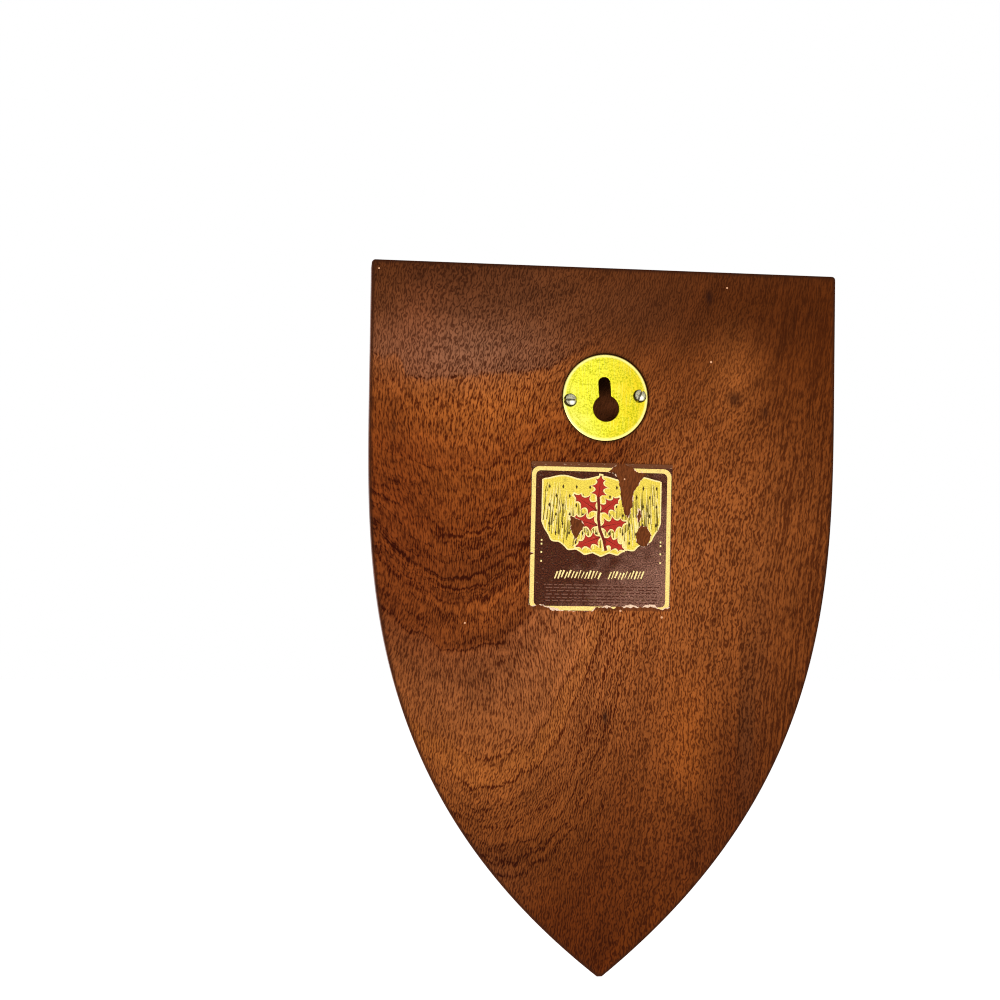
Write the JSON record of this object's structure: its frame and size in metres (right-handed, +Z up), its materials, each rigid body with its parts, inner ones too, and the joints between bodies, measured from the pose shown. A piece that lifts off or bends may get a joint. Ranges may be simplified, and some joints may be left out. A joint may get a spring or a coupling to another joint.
{
  "type": "wooden shield wall plaque",
  "caption": "Heater-shield wall plaque in solid mahogany with a moulded front edge, a round brass keyhole plate let into its back to hang it by, and a torn paper label below.",
  "frame": {"origin": "centre of the round top of the hanging slot, on the plane of the board's back, where the shank of the wall screw sits", "axes": "+Z up towards the straight top edge, +Y out of the back towards the wall, +X to the left as seen from behind; the front faces -Y"},
  "size_m": [0.1524, 0.0152, 0.2274],
  "materials": {
    "mahogany": "satin polish over dark open pores",
    "brass": "brushed, lightly mottled",
    "steel": "plain, a little worn",
    "paper": "printed and varnished, torn"
  },
  "bodies": {
    "root": {"shield_board": "mahogany", "hanger_plate": "brass", "plate_screw_left": "steel", "plate_screw_right": "steel", "paper_label": "paper"}
  },
  "joints": []
}
